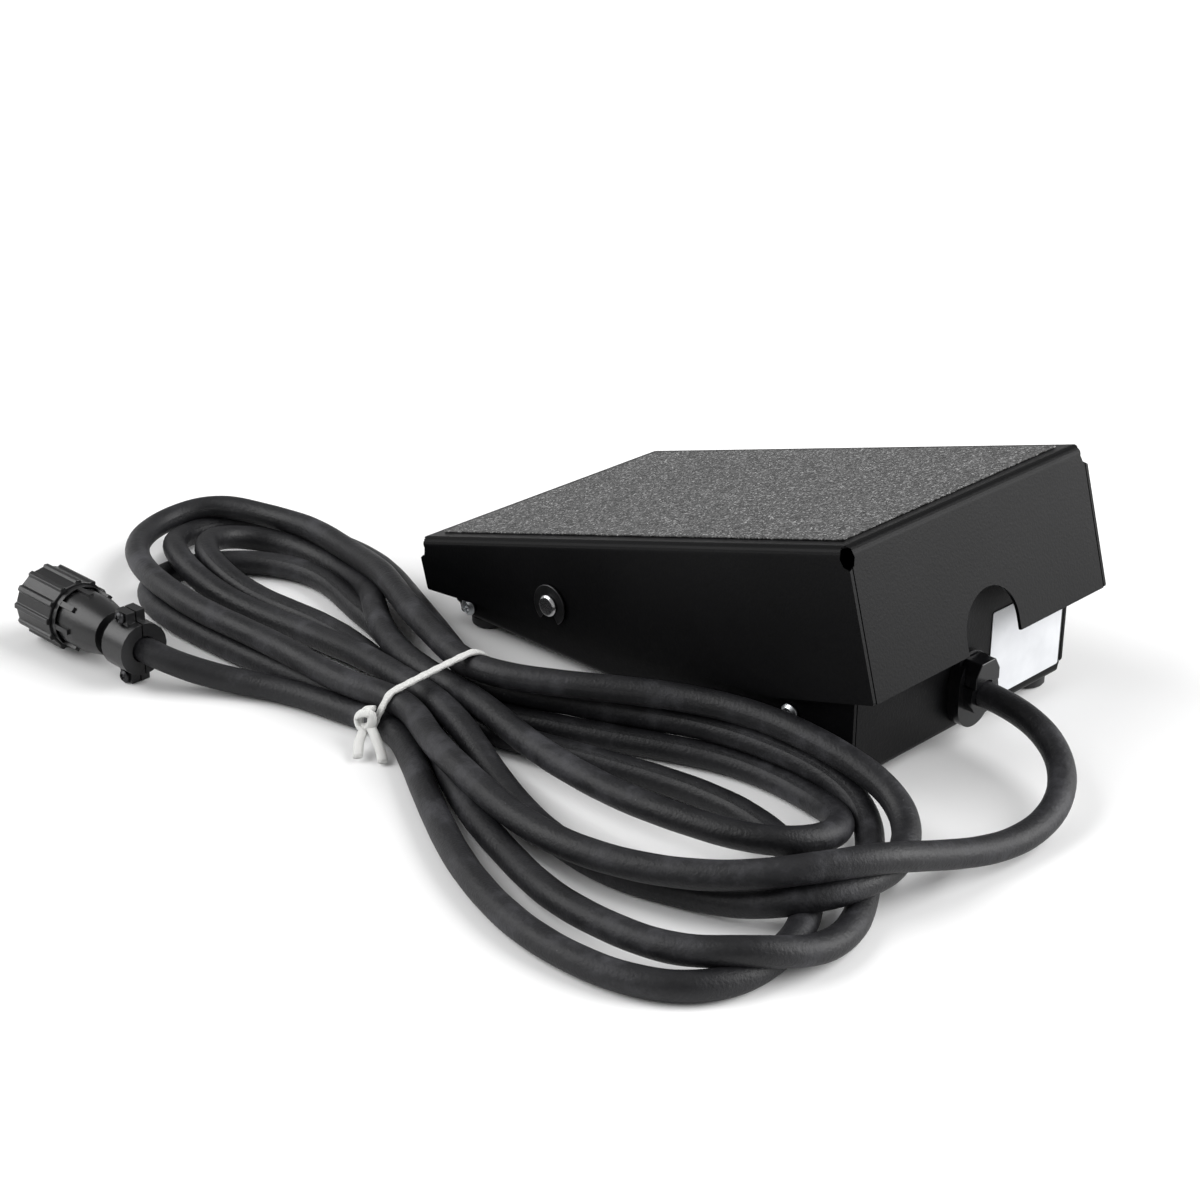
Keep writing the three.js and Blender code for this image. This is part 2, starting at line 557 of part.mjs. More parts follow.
function switchBody() {
  const side = outline([[SWITCH.x0, SWITCH.z0, 1], [SWITCH.x1, SWITCH.z0, 1],
    [SWITCH.x1, SWITCH.z1, 1], [SWITCH.x0, SWITCH.z1, 1]]);
  const body = extrudeY(side, SWITCH.y0, SWITCH.y1);
  const middle = (SWITCH.y0 + SWITCH.y1) / 2;
  const well = cylinder(PLUNGER.radius + GAP, SWITCH.z1 - 6, SWITCH.z1 + 1, 10)
    .translate(PLUNGER.x, middle, 0);
  return cut(body, well, ...SWITCH_HOLES.map(([x, z]) => extrudeY(circle(x, z, 1.2 + GAP), 10, 40, 5)));
}
piece('switch_body', 'black_plastic', switchBody());
piece('switch_bracket', 'zinc', angleBracket(SWITCH.x0 - 2, SWITCH.x1 + 2,
  [SWITCH.y1 + GAP, SWITCH.y1 + GAP + SHEET], SWITCH.y1 + 14, 24,
  SWITCH_HOLES.map(([x, z]) => extrudeY(circle(x, z, 1.2 + GAP), 10, 40, 5))));
SWITCH_HOLES.forEach(([x, z], i) => {
  piece(`switch_screw_${i === 0 ? 'heel' : 'toe'}`, 'zinc',
    screw(2.4, 1.6, 1.2, 14).rotateX(Math.PI / 2).translate(x, SWITCH.y0 - GAP, z));
});

const leverLength = (SWITCH.tip - SWITCH.hinge) / Math.cos(leverRise);
piece('switch_lever', 'spring_steel', box(0, leverLength, -2.5, 2.5, -0.3, 0.3)
  .rotateY(-leverRise).translate(SWITCH.hinge, (SWITCH.y0 + SWITCH.y1) / 2, SWITCH.lever));
const plungerTop = leverAt(PLUNGER.x) - 0.3 - GAP - 0.2;
piece('switch_plunger', 'nylon', cylinder(PLUNGER.radius, SWITCH.z1 - 3.5, plungerTop, 10)
  .translate(PLUNGER.x, (SWITCH.y0 + SWITCH.y1) / 2, 0));

// Tab under the cover whose rounded end pushes the lever's tip down.
function switchStriker() {
  const [x, z] = inCover(SWITCH.tip - 1, leverAt(SWITCH.tip) + 0.3 + GAP - HINGE_Z);
  const flange = COVER_UNDER - GAP;
  const face = x - SHEET / 2;
  const strip = foldedStrip([[face, z], [face, flange], [face + 12, flange]], TRAY_BEND);
  return onCover(extrudeY(strip, SWITCH.y0 + 1.5, SWITCH.y1 - 1.5));
}
piece('switch_striker', 'zinc', switchStriker());

// ---------- strain relief and label ----------
// Black moulding in the tray's toe wall: an oblong flange, a collar round the cord and a neck inside.
function reliefBody() {
  const wall = TRAY.toe;
  const outside = extrudeX(oblong(RELIEF.wide, RELIEF.tall), wall + GAP, wall + 6, 5);
  const neck = extrudeX(oblong(RELIEF.inner, RELIEF.innerTall), wall - 7, wall + 1, 4);
  const collar = extrudeX(circle(0, CORD_Z, CORD + 3.5), wall + 5, wall + 10.5, 8);
  const seat = extrudeX(outline([[-8, CORD_Z + 4], [8, CORD_Z + 4], [8, CORD_Z + 20], [-8, CORD_Z + 20]]),
    wall + 3, wall + 12);
  const bore = extrudeX(circle(0, CORD_Z, CORD + GAP), wall - 10, wall + 15, 8);
  return cut(join(outside, neck, collar), seat, bore);
}
piece('strain_relief_body', 'black_plastic', reliefBody());

// Wedge over the cord: a roof with bevelled sides and an arch below.
function reliefHood() {
  const wall = TRAY.toe;
  const low = CORD_Z + 4 + GAP;
  const roof = extrudeX(outline([[-7.6, low], [7.6, low], [7.6, low + 5, 1], [4.5, low + 10, 1],
    [-4.5, low + 10, 1], [-7.6, low + 5, 1]]), wall + 3 + GAP, wall + 11.5);
  return cut(roof, extrudeX(circle(0, CORD_Z, CORD + GAP + 0.2), wall, wall + 15, 8));
}
piece('strain_relief_hood', 'black_plastic', reliefHood());

const LABEL = { y0: 16.6, y1: 65.8, z0: FOOT_HEIGHT + 5.2, z1: FOOT_HEIGHT + 44.4 };
piece('rating_label', 'label', extrudeX(outline([[LABEL.y0, LABEL.z0, 1], [LABEL.y1, LABEL.z0, 1],
  [LABEL.y1, LABEL.z1, 1], [LABEL.y0, LABEL.z1, 1]]), TRAY.toe + GAP / 3, TRAY.toe + GAP / 3 + 0.3));

// ---------- conductors inside the tray ----------
const cordStart = 138;
piece('pot_leads', 'wire', tube([[cordStart - 1.2, 2, CORD_Z], [132, 2.6, CORD_Z - 0.5],
  [120, 9, 17], [106, 12, 14], [92, 13, 16], [85, 14, 20], [80, 9.6, 24]], 1.4, 6, 20));
piece('switch_leads', 'wire', tube([[cordStart - 1.2, -2, CORD_Z - 2],
  [132, -2.2, CORD_Z - 2.5], [121, 0, 14], [108, 14, 11.5], [84, 24, 11], [58, 26, 11.5],
  [46, 25.5, 15], [SWITCH.x1 + 1.5, 25, 18]], 1.4, 6, 24));

// ---------- cord ----------
// Points below are given with the hinge line at x = 0, like everything above.
const LEAD = [
  [cordStart, 0, 23.3], [150, 0, 23.3], [168, 0, 23.3], [184, -1, 22.5], [199, -5, 20.5], [213, -13, 16.5],
  [223, -25, 12], [228, -40, 8.5], [229, -54, 7], [227.4, -70, 7.5], [224.4, -87, 11], [222.5, -98, 14.2],
];
const HANK = { z0: 1.8, z1: 35, far: -halfCover - 1.8 };     // far: beside the cover
piece('cord_lead', 'cord_rubber', tube(LEAD, CORD, 10, 14));

// The tied bundle fills these two outlines, one each side of the string.
const TIE_X = 0;
const WAIST = { near: -168, far: -122 };  // the bundle's two sides at the string
piece('cord_hank_right', 'cord_rubber', extrudeZ(outline([
  [TIE_X + 1.2, WAIST.far, 0], [82, HANK.far, 60], [176, HANK.far, 40], [237, -118, 50], [228, -236, 60],
  [150, -248, 50], [60, -228, 60], [TIE_X + 1.2, WAIST.near, 0],
]), HANK.z0, HANK.z1, 3));
piece('cord_hank_left', 'cord_rubber', extrudeZ(outline([
  [TIE_X - 1.2, WAIST.far, 0], [TIE_X - 1.2, WAIST.near, 0], [-40, -183, 30], [-130, -181, 60],
  [-244, -160, 40], [-250, -74, 38], [-160, -66, 60],
]), HANK.z0, HANK.z1, 3));

// String round the waist of the bundle, with its knot.
function hankTie() {
  const [y0, y1] = [WAIST.near - 0.4, WAIST.far + 0.4];
  const [z0, z1] = [HANK.z0 - 0.3, HANK.z1 + 0.3];
  const loop = outline([[y0 - 1.2, z0 - 1.2, 2], [y1 + 1.2, z0 - 1.2, 2],
    [y1 + 1.2, z1 + 1.2, 2], [y0 - 1.2, z1 + 1.2, 2]]);
  loop.holes.push(outline([[y0, z0], [y1, z0], [y1, z1], [y0, z1]]));
  const knot = box(TIE_X - 0.9, TIE_X + 0.9, y0 - 8, y0 - 1, 14, 20);
  return join(extrudeX(loop, TIE_X - 0.8, TIE_X + 0.8), knot);
}
piece('hank_tie', 'string', hankTie());

// ---------- plug ----------
const PLUG = { x: -184.5, y: -202.5, z: 16.3, ring: 24.5, length: 72 };
const TAIL = [[PLUG.x + PLUG.length - 8, PLUG.y, PLUG.z], [PLUG.x + PLUG.length, PLUG.y, PLUG.z],
  [-105, -200.5, 14.5], [-97, -194, 10], [-92, -191.5, 7.5]];
piece('cord_tail', 'cord_rubber', tube(TAIL, CORD, 10, 5));

// Place a plug piece drawn along +Z from its front face.
const onPlug = (geometry, roll = 0) => alongX(geometry.rotateZ(roll)).translate(PLUG.x, PLUG.y, PLUG.z);

function couplingRing() {
  const ribs = 12;
  const ring = new THREE.Shape();
  for (let i = 0; i < ribs; i += 1) {
    for (const [share, radius] of [[0, 14.9], [0.6, 14.9], [0.68, 16], [0.92, 16]]) {
      const angle = 2 * Math.PI * (i + share) / ribs;
      const [a, b] = [radius * Math.cos(angle), radius * Math.sin(angle)];
      if (i === 0 && share === 0) ring.moveTo(a, b);
      else ring.lineTo(a, b);
    }
  }
  ring.holes.push(circle(0, 0, 12.8));
  return onPlug(extrudeZ(ring, 0, PLUG.ring, 12));
}
piece('coupling_ring', 'black_plastic', couplingRing());

const EAR = 13.4;                        // from the cord's middle to a clamp screw

// Shell of the plug: socket in front, ribbed barrel, taper, flat plate and the seat of the cord clamp.
function connectorBody() {
  const rear = PLUG.ring + GAP;
  const shell = turned([[0, 22], [10.6, 22], [10.6, 2], [12.5, 2], [12.5, rear],
    [13.8, rear], [13.8, rear + 2.5], [12.4, rear + 2.5], [12.4, 38], [9.8, 51], [6.9, 51.5],
    [6.9, PLUG.length], [0, PLUG.length]], 24);
  const ribs = [];
  for (let i = 0; i < 8; i += 1) {
    ribs.push(box(12, 13.6, -1.2, 1.2, rear + 1, 36).rotateZ(i * Math.PI / 4));
  }
  const seat = cut(cylinder(11.5, 58, PLUG.length, 20), box(-20, 20, -GAP, 20, 50, 80));
  const ears = box(-16, 16, -4.5, -GAP, 60, 68);
  const bore = cylinder(CORD + GAP, 50, PLUG.length + 1, 16);
  const screwHoles = [-1, 1].map((side) => cylinder(1.6 + GAP, -10, 10, 10).rotateX(Math.PI / 2)
    .translate(side * EAR, 0, 64));
  const clampRoom = box(-20, 20, -GAP, 20, 58 - GAP, 80);
  return cut(join(shell, ...ribs, seat, ears), bore, ...screwHoles, clampRoom);
}
const CLAMP_ROLL = Math.PI;              // the clamp's ears stand above and below the cord
piece('connector_body', 'black_plastic', onPlug(connectorBody(), CLAMP_ROLL));

function connectorInsert() {
  const pins = [];
  for (const [count, radius] of [[4, 3], [8, 7.4]]) {
    for (let i = 0; i < count; i += 1) {
      const angle = 2 * Math.PI * i / count;
      pins.push(cylinder(0.8, 4.5, 11, 6).translate(radius * Math.cos(angle), radius * Math.sin(angle), 0));
    }
  }
  return onPlug(join(cylinder(10.3, 10, 22 - GAP, 24), ...pins));
}
piece('connector_insert', 'black_plastic', connectorInsert());

// Upper half of the cord clamp.
function cordClamp() {
  const half = common(cylinder(11.5, 58, PLUG.length, 20), box(-20, 20, GAP, 20, 50, 80));
  const ears = box(-16, 16, GAP, 4.5, 60, 68);
  const bore = cylinder(CORD + GAP, 50, PLUG.length + 1, 16);
  const holes = [-1, 1].map((side) => cylinder(1.6 + GAP, -10, 10, 10).rotateX(Math.PI / 2)
    .translate(side * EAR, 0, 64));
  return onPlug(cut(join(half, ears), bore, ...holes), CLAMP_ROLL);
}
piece('cord_clamp', 'black_plastic', cordClamp());
for (const [side, name] of [[1, 'upper'], [-1, 'lower']]) {
  piece(`clamp_screw_${name}`, 'spring_steel', onPlug(screw(2.8, 2, 1.6, 8.6).rotateX(-Math.PI / 2)
    .translate(side * EAR, 4.5 + GAP, 64), CLAMP_ROLL));
}

// ---------- to the middle of the object's own length ----------
const ON_CORD = ['cord_lead', 'cord_hank_right', 'cord_hank_left', 'cord_tail', 'hank_tie', 'coupling_ring',
  'connector_body', 'connector_insert', 'cord_clamp', 'clamp_screw_upper', 'clamp_screw_lower'];
const extent = new THREE.Box3();
for (const mesh of group.children) {
  if (!ON_CORD.includes(mesh.name)) extent.expandByObject(mesh);
}
const shift = -(extent.min.x + extent.max.x) / 2;
for (const mesh of group.children) mesh.geometry.translate(shift, 0, 0);

export default group;
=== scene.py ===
"""Looks for an industrial foot control: folded steel cover and tray, tied cord and round plug.

Everything is in metres in the part's own frame: +X from the heel to the toe, +Y to the far side, +Z up.
Points of the cord are written in millimetres and turned to metres where they are used.
"""

import json
import math

import bmesh
import bpy
import numpy as np
from mathutils import Matrix, Vector


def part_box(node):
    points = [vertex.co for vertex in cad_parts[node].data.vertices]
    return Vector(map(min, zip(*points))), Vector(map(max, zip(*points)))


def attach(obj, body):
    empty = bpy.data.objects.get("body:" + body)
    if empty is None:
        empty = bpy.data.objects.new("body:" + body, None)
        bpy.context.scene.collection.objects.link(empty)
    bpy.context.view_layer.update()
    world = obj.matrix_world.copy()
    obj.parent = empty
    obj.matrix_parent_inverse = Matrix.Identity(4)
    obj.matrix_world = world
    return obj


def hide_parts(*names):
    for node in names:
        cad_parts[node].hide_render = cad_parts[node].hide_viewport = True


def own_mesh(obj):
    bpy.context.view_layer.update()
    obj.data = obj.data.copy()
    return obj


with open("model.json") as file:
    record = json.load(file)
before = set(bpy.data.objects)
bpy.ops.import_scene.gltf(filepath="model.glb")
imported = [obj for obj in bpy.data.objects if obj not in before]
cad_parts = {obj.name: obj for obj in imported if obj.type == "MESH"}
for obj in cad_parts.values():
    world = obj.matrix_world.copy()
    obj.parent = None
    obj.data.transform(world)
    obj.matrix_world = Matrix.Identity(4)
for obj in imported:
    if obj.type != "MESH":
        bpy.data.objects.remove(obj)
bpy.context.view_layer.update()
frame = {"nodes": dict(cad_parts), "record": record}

MM = 0.001
NODES = frame["nodes"]


# ---------- camera ----------
CAMERA_PLACE = (0.6065, -0.7093, 0.4524)
CAMERA_AZIMUTH = math.radians(44.46)
CAMERA_ELEVATION = math.radians(24.74)
CAMERA_ROLL = math.radians(0.22)
CAMERA_LENS = 71.97


def make_camera():
    data = bpy.data.cameras.new("camera")
    data.lens = CAMERA_LENS
    data.clip_end = 50
    camera = bpy.data.objects.new("camera", data)
    bpy.context.scene.collection.objects.link(camera)
    level = math.cos(CAMERA_ELEVATION)
    back = Vector((math.sin(CAMERA_AZIMUTH) * level,
                   -math.cos(CAMERA_AZIMUTH) * level,
                   math.sin(CAMERA_ELEVATION)))
    turn = back.to_track_quat("Z", "Y").to_matrix().to_4x4()
    camera.matrix_world = Matrix.Translation(CAMERA_PLACE) @ turn @ Matrix.Rotation(CAMERA_ROLL, 4, "Z")
    bpy.context.scene.camera = camera


make_camera()


# ---------- mesh helpers ----------
def new_object(name, verts, faces, material, smooth=True):
    mesh = bpy.data.meshes.new(name)
    mesh.from_pydata([tuple(v) for v in verts], [], faces)
    mesh.validate()
    mesh.polygons.foreach_set("use_smooth", [smooth] * len(mesh.polygons))
    mesh.materials.append(material)
    piece = bpy.data.objects.new(name, mesh)
    bpy.context.scene.collection.objects.link(piece)
    return piece


def tube_mesh(path, radii, sides, flat=1.0):
    """Rings of points round a path, carried along it without twist; flat squeezes each ring."""
    path = np.asarray(path, float)
    along = np.gradient(path, axis=0)
    along /= np.linalg.norm(along, axis=1)[:, None]
    side = np.cross(along[0], (0, 0, 1))
    if np.linalg.norm(side) < 0.1:
        side = np.cross(along[0], (0, 1, 0))
    verts = []
    for place, direction, radius in zip(path, along, radii):
        side -= direction * side.dot(direction)
        side /= np.linalg.norm(side)
        up = np.cross(side, direction)
        for k in range(sides):
            angle = 2 * math.pi * k / sides
            verts.append(place + radius * (math.cos(angle) * side + math.sin(angle) * up * flat))
    faces = []
    for ring in range(len(path) - 1):
        for k in range(sides):
            nxt = (k + 1) % sides
            here, after = ring * sides, (ring + 1) * sides
            faces.append((here + k, after + k, after + nxt, here + nxt))
    last = (len(path) - 1) * sides
    faces.append(tuple(range(sides)))
    faces.append(tuple(last + k for k in reversed(range(sides))))
    return verts, faces


def smooth_route(points, spacing):
    """A centripetal Catmull-Rom curve through the points, as points one spacing apart."""
    points = np.asarray(points, float)
    p = np.vstack([2 * points[0] - points[1], points, 2 * points[-1] - points[-2]])
    fine = []
    for i in range(1, len(p) - 2):
        a, b, c, d = p[i - 1:i + 3]
        tb = math.sqrt(np.linalg.norm(b - a))
        tc = tb + math.sqrt(np.linalg.norm(c - b))
        td = tc + math.sqrt(np.linalg.norm(d - c))
        for t in np.linspace(tb, tc, 12, endpoint=False):
            ab = a + (b - a) * t / tb
            bc = b + (c - b) * (t - tb) / (tc - tb)
            cd = c + (d - c) * (t - tc) / (td - tc)
            abc = ab + (bc - ab) * t / tc
            bcd = bc + (cd - bc) * (t - tb) / (td - tb)
            fine.append(abc + (bcd - abc) * (t - tb) / (tc - tb))
    fine.append(p[-2])
    fine = np.array(fine)
    walked = np.concatenate([[0], np.cumsum(np.linalg.norm(np.diff(fine, axis=0), axis=1))])
    even = np.linspace(0, walked[-1], int(round(walked[-1] / spacing)) + 1)
    return np.stack([np.interp(even, walked, fine[:, k]) for k in range(3)], 1)


# ---------- materials ----------
def shader(name):
    """A new material with its nodes, its links and its main shader."""
    material = bpy.data.materials.new(name)
    material.use_nodes = True
    tree = material.node_tree
    return material, tree, tree.nodes["Principled BSDF"]


def place_coords(tree, scale=(1, 1, 1)):
    coords = tree.nodes.new("ShaderNodeTexCoord")
    mapping = tree.nodes.new("ShaderNodeMapping")
    mapping.inputs["Scale"].default_value = scale
    tree.links.new(coords.outputs["Object"], mapping.inputs["Vector"])
    return mapping.outputs["Vector"]


def noise(tree, vector, scale, detail=4.0, rough=0.55):
    node = tree.nodes.new("ShaderNodeTexNoise")
    node.inputs["Scale"].default_value = scale
    node.inputs["Detail"].default_value = detail
    node.inputs["Roughness"].default_value = rough
    tree.links.new(vector, node.inputs["Vector"])
    return node.outputs["Fac"]


def cells(tree, vector, scale, output="Distance"):
    node = tree.nodes.new("ShaderNodeTexVoronoi")
    node.inputs["Scale"].default_value = scale
    tree.links.new(vector, node.inputs["Vector"])
    return node.outputs[output]


def ramp(tree, value, stops):
    """A colour ramp: stops are (position, grey or colour)."""
    node = tree.nodes.new("ShaderNodeValToRGB")
    while len(node.color_ramp.elements) < len(stops):
        node.color_ramp.elements.new(0.5)
    for element, (position, tone) in zip(node.color_ramp.elements, stops):
        element.position = position
        element.color = (*tone, 1) if hasattr(tone, "__len__") else (tone, tone, tone, 1)
    tree.links.new(value, node.inputs["Fac"])
    return node.outputs["Color"]


def to_range(tree, value, low, high):
    node = tree.nodes.new("ShaderNodeMapRange")
    node.inputs["To Min"].default_value = low
    node.inputs["To Max"].default_value = high
    tree.links.new(value, node.inputs["Value"])
    return node.outputs["Result"]


def mixed(tree, share, first, second):
    node = tree.nodes.new("ShaderNodeMix")
    node.data_type = "RGBA"
    tree.links.new(share, node.inputs["Factor"])
    tree.links.new(first, node.inputs["A"])
    tree.links.new(second, node.inputs["B"])
    return node.outputs["Result"]


def bump(tree, shader_node, height, depth, strength=1.0, under=None):
    node = tree.nodes.new("ShaderNodeBump")
    node.inputs["Distance"].default_value = depth
    node.inputs["Strength"].default_value = strength
    tree.links.new(height, node.inputs["Height"])
    if under is not None:
        tree.links.new(under, node.inputs["Normal"])
    tree.links.new(node.outputs["Normal"], shader_node.inputs["Normal"])
    return node.outputs["Normal"]


def powder_coat():
    """Satin black powder coat: fine orange peel, faint rubbed patches and specks of dust."""
    material, tree, main = shader("powder_coat_satin")
    place = place_coords(tree)
    tone = ramp(tree, noise(tree, place, 14, 5),
                [(0.35, (0.0016, 0.0016, 0.0019)), (0.75, (0.003, 0.003, 0.0034))])
    dust = ramp(tree, cells(tree, place, 420), [(0.02, 0.05), (0.05, 0.0)])
    patchy = ramp(tree, noise(tree, place, 35, 2), [(0.62, 0.0), (0.72, 0.35)])
    grey = tree.nodes.new("ShaderNodeRGB")
    grey.outputs[0].default_value = (0.11, 0.11, 0.115, 1)
    speck = tree.nodes.new("ShaderNodeMath")
    speck.operation = "MULTIPLY"
    tree.links.new(dust, speck.inputs[0])
    tree.links.new(patchy, speck.inputs[1])
    tree.links.new(mixed(tree, speck.outputs[0], tone, grey.outputs[0]), main.inputs["Base Color"])
    tree.links.new(to_range(tree, noise(tree, place, 22, 6), 0.34, 0.46), main.inputs["Roughness"])
    main.inputs["Specular IOR Level"].default_value = 0.09
    bump(tree, main, noise(tree, place, 850, 2), 0.00022, 0.35)
    return material


GRAINS_PER_METRE = 1500


def grit():
    """Anti-slip sheet: mineral grains in dark resin, some of them catching the light."""
    material, tree, main = shader("anti_slip_grit")
    place = place_coords(tree)
    grain = ramp(tree, cells(tree, place, GRAINS_PER_METRE, "Color"),
                 [(0.2, 0.010), (0.5, 0.045), (0.74, 0.15), (0.93, 0.5)])
    cloud = ramp(tree, noise(tree, place, 9, 3), [(0.3, 0.06), (0.75, 0.09)])
    blend = tree.nodes.new("ShaderNodeValue")
    blend.outputs[0].default_value = 0.25
    tree.links.new(mixed(tree, blend.outputs[0], grain, cloud), main.inputs["Base Color"])
    rough = to_range(tree, cells(tree, place, GRAINS_PER_METRE, "Color"), 0.42, 0.85)
    tree.links.new(rough, main.inputs["Roughness"])
    main.inputs["Specular IOR Level"].default_value = 0.55
    coarse = bump(tree, main, cells(tree, place, 900), 0.0006, 0.9)
    bump(tree, main, noise(tree, place, 2600, 2), 0.0002, 0.7, coarse)
    return material


def metal(name, tone, low, high, streak=(1, 1, 1), scale=260, scratch=0.00004):
    """Bare or plated metal with streaks left by its finish."""
    material, tree, main = shader(name)
    place = place_coords(tree, streak)
    main.inputs["Metallic"].default_value = 1
    dark = tuple(0.72 * c for c in tone)
    colour = ramp(tree, noise(tree, place, scale, 4), [(0.3, dark), (0.65, tone)])
    tree.links.new(colour, main.inputs["Base Color"])
    tree.links.new(to_range(tree, noise(tree, place, 3 * scale, 3), low, high), main.inputs["Roughness"])
    bump(tree, main, noise(tree, place, 4 * scale, 2), scratch, 0.6)
    return material


def plastic(name, tone, low, high, texture=0.00012, scale=1400, gloss=0.5):
    """Moulded plastic or rubber: fine tool texture, cloudy sheen and faint handling marks."""
    material, tree, main = shader(name)
    place = place_coords(tree)
    light = tuple(1.6 * c + 0.001 for c in tone)
    colour = ramp(tree, noise(tree, place, 60, 5), [(0.35, tone), (0.8, light)])
    tree.links.new(colour, main.inputs["Base Color"])
    tree.links.new(to_range(tree, noise(tree, place, 45, 5), low, high), main.inputs["Roughness"])
    main.inputs["Specular IOR Level"].default_value = gloss
    bump(tree, main, noise(tree, place, scale, 3), texture, 0.5)
    return material


def cord_jacket():
    """Rubber cord jacket: cloth-cured grain along and round it, dusty bloom and rubbed places."""
    material, tree, main = shader("cord_jacket_rubber")
    uv = tree.nodes.new("ShaderNodeUVMap")
    uv.uv_map = "jacket"
    drawn = tree.nodes.new("ShaderNodeMapping")
    drawn.inputs["Scale"].default_value = (26, 900, 1)
    tree.links.new(uv.outputs["UV"], drawn.inputs["Vector"])
    place = place_coords(tree)
    bloom = noise(tree, place, 38, 7, 0.65)
    tone = ramp(tree, bloom, [(0.34, (0.0040, 0.0040, 0.0049)), (0.53, (0.0105, 0.0105, 0.0122)),
                              (0.70, (0.042, 0.042, 0.047))])
    speck = ramp(tree, cells(tree, place, 330), [(0.05, 1.0), (0.09, 0.0)])
    pale = tree.nodes.new("ShaderNodeRGB")
    pale.outputs[0].default_value = (0.14, 0.14, 0.145, 1)
    some = ramp(tree, noise(tree, place, 70, 2), [(0.60, 0.0), (0.68, 0.7)])
    share = tree.nodes.new("ShaderNodeMath")
    share.operation = "MULTIPLY"
    tree.links.new(speck, share.inputs[0])
    tree.links.new(some, share.inputs[1])
    tree.links.new(mixed(tree, share.outputs[0], tone, pale.outputs[0]), main.inputs["Base Color"])
    tree.links.new(to_range(tree, bloom, 0.30, 0.74), main.inputs["Roughness"])
    main.inputs["Specular IOR Level"].default_value = 0.32
    grain = bump(tree, main, noise(tree, drawn.outputs["Vector"], 1.0, 3), 0.0003, 0.8)
    bump(tree, main, noise(tree, place, 420, 5), 0.0004, 0.55, grain)
    return material


def label_film():
    """Blank white laminated label: faint print grey, handling marks and a soft sheen."""
    material, tree, main = shader("label_film")
    place = place_coords(tree)
    tone = ramp(tree, noise(tree, place, 60, 5), [(0.3, (0.52, 0.53, 0.55)), (0.7, (0.62, 0.63, 0.65))])
    tree.links.new(tone, main.inputs["Base Color"])
    tree.links.new(to_range(tree, noise(tree, place, 120, 4), 0.28, 0.42), main.inputs["Roughness"])
    bump(tree, main, noise(tree, place, 500, 2), 0.00006, 0.3)
    return material


def cotton_string():
    """White cotton string, its twist drawn by slanted bands."""
    material, tree, main = shader("cotton_string")
    uv = tree.nodes.new("ShaderNodeUVMap")
    uv.uv_map = "jacket"
    wave = tree.nodes.new("ShaderNodeTexWave")
    wave.bands_direction = "DIAGONAL"
    wave.inputs["Scale"].default_value = 2.2
    wave.inputs["Distortion"].default_value = 2.5
    wave.inputs["Detail"].default_value = 3
    stretched = tree.nodes.new("ShaderNodeMapping")
    stretched.inputs["Scale"].default_value = (3, 420, 1)
    tree.links.new(uv.outputs["UV"], stretched.inputs["Vector"])
    tree.links.new(stretched.outputs["Vector"], wave.inputs["Vector"])
    tone = ramp(tree, wave.outputs["Fac"], [(0.0, (0.62, 0.62, 0.6)), (1.0, (0.88, 0.88, 0.86))])
    tree.links.new(tone, main.inputs["Base Color"])
    main.inputs["Roughness"].default_value = 0.85
    main.inputs["Sheen Weight"].default_value = 0.3
    place = place_coords(tree)
    fuzz = bump(tree, main, wave.outputs["Fac"], 0.0003, 0.7)
    bump(tree, main, noise(tree, place, 3500, 3), 0.00015, 0.6, fuzz)
    return material


MATERIALS = {
    "powder_coat": powder_coat(),
    "grit": grit(),
    "zinc": metal("zinc_plate", (0.62, 0.64, 0.66), 0.22, 0.42, scale=320),
    "steel": metal("turned_steel", (0.66, 0.66, 0.67), 0.16, 0.3, streak=(1, 0.15, 1), scale=700),
    "spring_steel": metal("blackened_steel", (0.05, 0.05, 0.052), 0.3, 0.5),
    "black_plastic": plastic("black_moulding", (0.0042, 0.0042, 0.0046), 0.27, 0.42, gloss=0.42),
    "nylon": plastic("natural_nylon", (0.55, 0.53, 0.46), 0.4, 0.55),
    "rubber": plastic("black_rubber", (0.009, 0.009, 0.0095), 0.55, 0.75, 0.0002, 900),
    "cord_rubber": cord_jacket(),
    "label": label_film(),
    "string": cotton_string(),
    "wire": plastic("wire_insulation", (0.22, 0.03, 0.02), 0.3, 0.45),
}
GLOSSY_MOULDING = plastic("polished_moulding", (0.004, 0.004, 0.0045), 0.14, 0.3, 0.00008, 600, 0.3)


# ---------- cord ----------
CORD_RADIUS = 5.5 * MM
CORD_STEP = 5.5 * MM                     # between two points of the cord's middle line, as it settles
CORD_FINE = 3.2 * MM                     # and as it is drawn
HELD_LEAD = 185 * MM                     # the lead keeps its shape this far from the strain relief
HELD_TAIL = 4                            # and so do this many points before the plug
LEAST_BEND = 5.8 * CORD_RADIUS           # radius of the tightest fold the cord takes
COVER_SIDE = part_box("pedal_cover")[0].y - CORD_RADIUS - 0.8 * MM
COVER_ENDS = (-0.12, 0.132)              # where runs beside the cover are kept off its side
BESIDE_COVER = -0.04                     # and only those nearer than this
TIE = (-40, -142)                        # middle of the bundle where the string holds it
TIE_TURN = math.radians(-20)             # the bundle's own direction there, from +X
# Places of the nine runs under the string: across the bundle, and height.
SLOTS = {
    "low_near": (-20.5, 5.5), "low_2": (-9, 5.5), "low_3": (2.5, 5.5), "low_far": (14, 5.5),
    "mid_near": (-14.8, 15.1), "mid_2": (-3.3, 15.1), "mid_3": (8.2, 15.1), "mid_far": (19.7, 15.1),
    "top": (14, 24.8),
}
